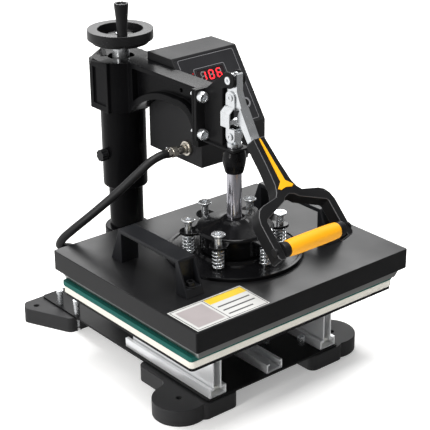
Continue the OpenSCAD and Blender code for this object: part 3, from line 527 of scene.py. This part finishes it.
def basis(origin, x, y, z):
    """The place of a piece whose local axes point along x, y and z."""
    m = Matrix((Vector(x), Vector(y), Vector(z))).transposed().to_4x4()
    return Matrix.Translation(origin) @ m


def stand(x, y, z):
    return Matrix.Translation((x, y, z))


def leaning(origin, angle):
    """A plane through origin that leans back, turned about the X axis by angle."""
    up, out = math.sin(angle), math.cos(angle)
    return basis(origin, (1, 0, 0), (0, out, up), (0, -up, out))


BASE_TOP = 28.5
COLUMN_Y = 136.5
BED_Y = -117
ROD_Y = -132
COVER_TOP = 190
HANDLE = leaning((0, ROD_Y, 455), math.radians(45))
PANEL = leaning((0, 37.5, 440), math.atan2(104, 70.5))


# ---------- cable ----------

# From the connector on the box, down past the column, and back under itself to the gland on the cover's rear edge.
ROUTE = [(-20, 0, 310), (-32, 0, 310), (-50, 2, 304), (-72, 6, 289), (-96, 14, 269), (-119, 26, 248), (-139, 42, 226),
         (-154, 59, 206), (-163, 74, 189), (-164, 84, 175), (-158, 84, 169), (-153, 75, 170), (-150, 65, 170),
         (-150, 56, 170)]


def smooth_path(points, steps=6):
    """A smooth curve through the route's points."""
    p = [Vector(q) for q in points]
    out = []
    for i in range(len(p) - 1):
        a, b, c, d = p[max(i - 1, 0)], p[i], p[i + 1], p[min(i + 2, len(p) - 1)]
        for k in range(steps):
            t = k / steps
            out.append(0.5 * (2 * b + (c - a) * t + (2 * a - 5 * b + 4 * c - d) * t * t
                              + (3 * b - a - 3 * c + d) * t ** 3))
    return out + [p[-1]]


def make_cable():
    path = smooth_path(ROUTE)
    cable = tube("heater_cable_look", path, 6.5, 28, "braid", None, "heater_cable")
    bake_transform(cable)

    def knurl(a, r, z):
        return 0.22 * math.cos(36 * a) if -11.5 < z < -2.5 else 0.0
    west = basis((0, 0, 310), (0, 1, 0), (0, 0, 1), (1, 0, 0))
    profile = [(0, -20), (6.9, -20), (7.2, -19.6), (7.2, -12.6), (7.0, -12.2), (7.0, -12), (7.7, -11.8), (8, -11.4),
               (8, -2.6), (7.7, -2.2), (6.6, -2), (6.2, -1.6), (6.2, 0), (6.4, 0.4), (6.4, 13.4), (0, 13.4)]
    plug = turned("cable_plug_look", profile, "nickel", "arm", west, "cable_plug", 144, knurl)
    for y in (-3.68, 3.68):
        turned("clamp_screw", [(0, 7.2), (1.7, 7.2), (1.7, 8.2), (1.5, 8.6), (0, 8.6)], "zinc", "arm",
               stand(-16.5, y, 310), steps=20)


make_camera()
make_room()
for softbox in SOFTBOXES:
    make_softbox(*softbox)
make_floor()
make_cable()


# ---------- base, bed and column ----------

for n in ("foot_front_left", "foot_front_right", "foot_rear_left", "foot_rear_right"):
    refine(n, "foot", 1.2, 3, edge="foot_highlight_edge", clamp=False)
refine("base_plate", "plate", 0.8)
for n in ("rail_left", "rail_middle", "rail_right", "support_left", "support_right"):
    refine(n, "aluminium", 0.35, 2)
refine("post", "casting", 0.5)
refine("post_collar", "casting", 0.9, edge="black_highlight_edge")
refine("bed_plate", "plate", 0.6, edge="black_highlight_edge")
refine("slider_shoes", "nylon", 0.5)
for n in ("bed_screws", "box_screws", "pivot_pin", "crank_pin"):
    keep(n, "zinc")


def make_bolts(node, places, profile, key=3.4):
    """Turned bolts with a hexagon socket. The profile's recess points sit at the key radius, the hexagon's flats."""
    def socket(a, r, z):
        if abs(r - key) > 0.01:
            return 0.0
        return key / math.cos((a + math.pi / 6) % (math.pi / 3) - math.pi / 6) - key
    for i, place in enumerate(places):
        bolt = turned("%s_%d" % (node, i + 1), profile, "zinc", BODY_OF[node], place, node if i == 0 else None, 48,
                      socket)


def foot_screw(high, low):
    """Cap screw on a sleeve, with its shank below the plate."""
    return [(0, -low), (4, -low), (4, 0.01), (4.9, 0.01), (4.9, high - 7), (5.4, high - 7), (5.8, high - 6.6),
            (5.8, high - 0.8), (5.2, high), (3.9, high), (3.4, high - 0.4), (3.4, high - 4), (0, high - 4)]


make_bolts("foot_screws", [stand(sx * 120, y, BASE_TOP) for sx in (-1, 1) for y in (162.5, 115.5)],
           foot_screw(24, 22))
for sx in (-1, 1):
    for x, y, low in ((84, -190, 22), (48, -151.5, 12)):
        make_bolts("foot_screws", [stand(sx * x, y, BASE_TOP)], foot_screw(14, low))
make_bolts("collar_bolts", [stand(sx * 40, COLUMN_Y + sy * 40, BASE_TOP + 8) for sx in (-1, 1) for sy in (-1, 1)],
           [(0, -17), (4, -17), (4, 0), (6.1, 0), (6.5, 0.4), (6.5, 7.3), (5.8, 8), (3.9, 8), (3.4, 7.6), (3.4, 4),
            (0, 4)])
make_bolts("bracket_screws", [basis((sx * 19.2, -81.5, z), (1, 0, 0), (0, 0, 1), (0, -1, 0)) for sx in (-1, 1)
                              for z in (364.5, 421)],
           [(0, -20), (3, -20), (3, 0), (7.6, 0), (8, 0.5), (8, 8), (7.2, 9), (5.1, 9), (4.6, 8.6), (4.6, 5),
            (0, 5)], 4.6)
refine("swing_nut", "brass", 0.4)


def pad_rings(low, high, edge):
    """(inset, height) of each outline up a pad's side, which is rounded by edge at the bottom and the top."""
    turns = [math.pi / 2 * k / 5 for k in range(6)]
    rings = [(edge * (1 - math.sin(a)), low + edge * (1 - math.cos(a))) for a in turns]
    rings += [(0.0, low + (high - low) * t) for t in (0.35, 0.5, 0.65)]
    rings += [(edge * (1 - math.cos(a)), high - edge * (1 - math.sin(a))) for a in turns]
    return rings + [(edge + 4, high), (edge + 12, high)]


def make_pad(node, size, corner, low, high, edge, look, lump):
    """A soft pad on the bed. Its side is uneven by up to lump millimetres."""
    verts, faces, count = [], [], None
    rings = pad_rings(low, high, edge)
    for inset, z in rings:
        outline = rounded(size[0] - 2 * inset, size[1] - 2 * inset, max(corner - inset, 2), 8, 0, BED_Y)
        outline = dense(outline, 4.0, count)
        count = len(outline)
        on_side = 0.1 < (z - low) / (high - low) < 0.9
        for x, y in outline:
            push = lump * (0.5 + 0.5 * math.sin(x * 0.9 + z) * math.sin(y * 0.8 - z * 1.3)) if on_side else 0
            k = 1 - push / max(abs(x), abs(y - BED_Y), 1)
            verts.append((x * k, (y - BED_Y) * k + BED_Y, z))
    for i in range(len(rings) - 1):
        for k in range(count):
            q = (k + 1) % count
            faces.append((i * count + k, i * count + q, (i + 1) * count + q, (i + 1) * count + k))
    faces.append(tuple(reversed(range(count))))
    faces.append(tuple(range((len(rings) - 1) * count, len(rings) * count)))
    pad = add(node + "_look", verts, faces, look, "bed", node, 50)


make_pad("press_pad", (388, 306.5), 4, 134.5, 142.9, 0.9, "teal", 0.0)
make_pad("sponge_pad", (386, 305.5), 5, 124.0, 134.5, 0.8, "sponge", 0.35)


# ---------- arm, control box and handwheel ----------

refine("arm_casting", "casting", 0.9, 2, edge="black_highlight_edge", clamp=False)
refine("toggle_bracket", "plate", 0.7, edge="black_highlight_edge", clamp=False)
keep("guide_bush", "gloss")
refine("box_shell", "box", 0.8, 2, edge="box_highlight_edge", clamp=False)
refine("box_panel", "film", 0.3)
keep("control_board", "board")
refine("power_inlet", "black", 0.5)
refine("fuse_holder", "black", 0.4)
refine("cable_socket", "nickel", 0.5)
refine("lock_knob", "black", 0.6)
for n in ("set_button", "down_button", "up_button"):
    refine(n, "black", 0.7, 3)
refine("power_switch", "red", 0.6)
refine("pressure_screw", "zinc", 0.5)
refine("handwheel", "wheel", 1.0, 3, edge="black_highlight_edge", clamp=False)
refine("crank_grip", "black", 0.3)


DISPLAY = (82, 37)  # the window's middle on the panel, to the right and down from the panel's origin
LIT_SEGMENTS = {67: "bc", 82: "abcdef", 97: "acdefg"}  # by the digit's place across the panel
BUTTONS = (62, 93, 124)
BUTTON_ROW = 93
SEGMENTS = {"a": ((-1, 1), (1, 1)), "b": ((1, 1), (1, 0)), "c": ((1, 0), (1, -1)), "d": ((1, -1), (-1, -1)),
            "e": ((-1, -1), (-1, 0)), "f": ((-1, 0), (-1, 1)), "g": ((-1, 0), (1, 0))}


def on_panel(across, down):
    return PANEL @ Matrix.Translation((across, -down, 0))


def segment_outline(start, end, width=3.9, height=6.6, half=0.95, gap=0.35, slant=0.08):
    """A bar with pointed ends between two of a slanted digit's corners, given in half widths and half heights."""
    ax, ay, bx, by = start[0] * width, start[1] * height, end[0] * width, end[1] * height
    length = math.hypot(bx - ax, by - ay)
    ux, uy = (bx - ax) / length, (by - ay) / length
    shape = [(gap, 0), (gap + half, half), (length - gap - half, half), (length - gap, 0),
             (length - gap - half, -half), (gap + half, -half)]
    return [(ax + ux * p - uy * q + (ay + uy * p + ux * q) * slant, ay + uy * p + ux * q) for p, q in shape]


def make_panel():
    """Window, lit digits, border lines and button rings on the sloping front of the box."""
    slab("display_window", rounded(51.4, 19.4, 1.5), -2.6, -0.8, "glass", "arm", on_panel(*DISPLAY), bevel=0.3)
    for digit, (across, lit) in enumerate(LIT_SEGMENTS.items()):
        for key, (start, end) in SEGMENTS.items():
            slab("segment_%d_%s" % (digit, key), segment_outline(start, end), -0.85, -0.5,
                 "lit" if key in lit else "unlit", "arm", on_panel(across, DISPLAY[1]), bevel=0)
    border(on_panel(83.75, 62.8), 108, 116, 3, 0.7)
    border(on_panel(*DISPLAY), 60, 28, 3, 0.7)
    ring = [(5.6, -0.25), (7.4, -0.25), (7.4, 0.25), (7.1, 0.5), (5.9, 0.5), (5.6, 0.25)]
    bezel = [(7.9, -0.25), (8.5, -0.25), (8.5, 0.0), (7.9, 0.0)]
    for x in BUTTONS:
        turned("button_ring", ring, "line", "arm", on_panel(x, BUTTON_ROW), steps=48)
        turned("button_bezel", bezel, "line", "arm", on_panel(x, BUTTON_ROW), steps=48)
    lamp = [(0, -0.3), (1.5, -0.3), (1.5, 0.3), (1.1, 0.7), (0, 0.8)]
    turned("lamp", lamp, "red", "arm", on_panel(49, 30), steps=24)


def border(matrix, w, d, r, line):
    """A thin printed frame line, as a shallow ring."""
    outer, inner = rounded(w, d, r, 5), rounded(w - 2 * line, d - 2 * line, max(r - line, 0.5), 5)
    n = len(outer)
    verts = [(x, y, z) for z in (-0.3, -0.05) for loop in (outer, inner) for x, y in loop]
    faces = []
    for k in range(n):
        q = (k + 1) % n
        faces += [(2 * n + k, 2 * n + q, 3 * n + q, 3 * n + k), (k, q, 2 * n + q, 2 * n + k),
                  (n + q, n + k, 3 * n + k, 3 * n + q)]
    add("frame_line", verts, faces, "line", "arm", matrix=matrix)


make_panel()


# ---------- platen ----------

BOLT_CIRCLE = 68
BOLT_PLACES = [(BOLT_CIRCLE * math.cos(math.radians(a)), ROD_Y + BOLT_CIRCLE * math.sin(math.radians(a)))
               for a in range(30, 390, 60)]


def make_springs():
    """Coil springs with closed ends round the six bolts."""
    wire, mean, low, high, turns, closed = 1.15, 8.2, 197.4, 224.6, 6.5, 0.11
    steps = int(turns * 20)
    for i, (x, y) in enumerate(BOLT_PLACES):
        path = []
        for k in range(steps + 1):
            t = k / steps
            rise = min(1, max(0, (t - closed) / (1 - 2 * closed)))
            a = 2 * math.pi * turns * t + i
            path.append((x + mean * math.cos(a), y + mean * math.sin(a), low + (high - low) * rise))
        spring = tube("spring_%d" % (i + 1), path, wire, 10, "spring", "platen", "springs" if i == 0 else None)


make_springs()
make_bolts("spring_bolts", [stand(x, y, 0) for x, y in BOLT_PLACES],
           [(0, 194), (4, 194), (4, 230.1), (5.4, 230.1), (5.4, 241.4), (5.5, 242), (9.5, 245.6), (10, 246.1),
            (10, 247.4), (9.4, 248), (3.8, 248), (3.4, 247.7), (3.4, 245), (0, 245)])
refine("lift_rod", "chrome", 0.3)
refine("rod_clevis", "zinc_plate", 0.5)
refine("spider_hub", "gloss", 0.9, 2, edge="black_highlight_edge", clamp=False)
refine("mounting_disc", "gloss", 0.7, edge="black_highlight_edge")
refine("platen_cover", "cover", 1.0, 3, edge="cover_highlight_edge", clamp=False)
keep("insulation", "wool")
keep("heating_element", "element")
refine("heat_plate", "heat_plate", 0.6)
refine("guard_left", "guard", 0.8, 2, edge="guard_highlight_edge", clamp=False)
refine("guard_right", "guard", 0.8, 2, edge="guard_highlight_edge", clamp=False)
refine("cable_gland", "black", 0.4)


def make_label():
    """A plain white label with a yellow band and ruled boxes, at the front left corner of the cover."""
    corners = [(-195, -287.5), (-69, -287.5), (-67, -221.5), (-195, -221.5)]
    place = stand(0, 0, COVER_TOP)
    slab("label", corners, 0.0, 0.15, "label", "platen", place, bevel=0)

    def at(u, v):
        """The point at shares u and v of the label's width and height."""
        (ax, ay), (bx, by), (cx, cy), (dx, dy) = corners
        return ((ax * (1 - u) + bx * u) * (1 - v) + (dx * (1 - u) + cx * u) * v,
                (ay * (1 - u) + by * u) * (1 - v) + (dy * (1 - u) + cy * u) * v)

    def patch(name, u0, v0, u1, v1, look, z):
        slab(name, [at(u0, v0), at(u1, v0), at(u1, v1), at(u0, v1)], 0.1, z, look, "platen", place, bevel=0)
    patch("label_band", 0.47, 0.72, 0.98, 0.95, "label_yellow", 0.22)
    patch("label_block", 0.06, 0.12, 0.42, 0.88, "label_shade", 0.2)
    for v in (0.16, 0.34, 0.52):
        patch("label_rule", 0.5, v, 0.94 - 0.1 * (v < 0.2), v + 0.045, "label_line", 0.2)
    for v in (0.03, 0.955):
        patch("label_rule", 0.02, v, 0.98, v + 0.018, "label_line", 0.2)
    for u in (0.015, 0.45, 0.98):
        patch("label_rule", u, 0.03, u + 0.009, 0.967, "label_line", 0.2)


make_label()


def make_guard_bolts():
    """A washer and a cap screw at both feet of each guard."""
    profile = [(0, 0), (8.5, 0), (8.5, 0.9), (6.2, 1.3), (6.2, 6.4), (5.7, 7), (3.4, 7), (3.2, 4.5), (0, 4.5)]
    for x in (-134, 134):
        for y in (-196, -42):
            turned("guard_bolt", profile, "black", "platen", stand(x, y, COVER_TOP + 12), steps=36)


make_guard_bolts()


# ---------- toggle and handle ----------

keep("toggle_link", "zinc_plate")
keep("lever", "zinc_plate")


def make_handle():
    """The moulded handle and its inlay. Outlines are (half width, distance from the pivot)."""
    outer = [(10, 88), (12, 130), (15, 160), (19, 171), (24, 177), (52, 183), (60, 187), (66, 195), (69, 206),
             (69, 258), (66, 262), (58, 262)]
    inner = [(57, 254), (57, 206), (54.5, 202.5), (14, 186), (9, 181), (0, 178)]
    right = [(x, -s) for x, s in outer + inner]
    loop = right + [(-x, y) for x, y in reversed(right[:-1])]
    # The border steps and the roundings take the second finish, a lighter grey that paints highlights along the face's
    # edges.
    body = slab("handle_body_look", loop, -35.3, -11.4, ["handle", "handle_highlight_rim", "handle_face"], "handle", HANDLE,
                "handle_body", bevel=0.9, segments=3, rims=((3.4, 0.0, 2), (1.2, -2.2, 2)))
    inlay = [(1.2, 90), (4.2, 158), (14, 167), (10, 170), (4, 168.5), (0, 168)]
    loop = [(x, -s) for x, s in inlay] + [(-x, -s) for x, s in reversed(inlay[:-1])]
    slab("handle_inlay", loop, -14.5, -12.4, "yellow", "handle", HANDLE, bevel=0.4)


def make_grip():
    """The foam grip, and a ring and a bar end on both sides of it."""
    across = basis(HANDLE @ Vector((0, -248.5, -17.5)), (0, 1, 0), (0, 0, 1), (1, 0, 0))
    bar = [(0, -46.8), (9.8, -46.8), (10.8, -46.2), (11.3, -45), (11.9, -36), (12.15, -20), (12.2, 0), (12.15, 20),
           (11.9, 36), (11.3, 45), (10.8, 46.2), (9.8, 46.8), (0, 46.8)]
    grip = turned("grip_look", bar, "grip", "handle", across, "grip", 96)
    ring = [(0, 46.6), (10.4, 46.6), (10.4, 47.4), (10.9, 48), (10.9, 55.6), (10.4, 56.4), (0, 56.6)]
    end = [(0, 66), (6, 66), (6, 69.2), (5.5, 69.8), (0, 70)]
    for side in (-1, 1):
        for name, profile in (("ferrule", ring), ("bar_end", end)):
            turned(name, [(r, side * z) for r, z in profile], "black", "handle", across, steps=64)


make_handle()
make_grip()
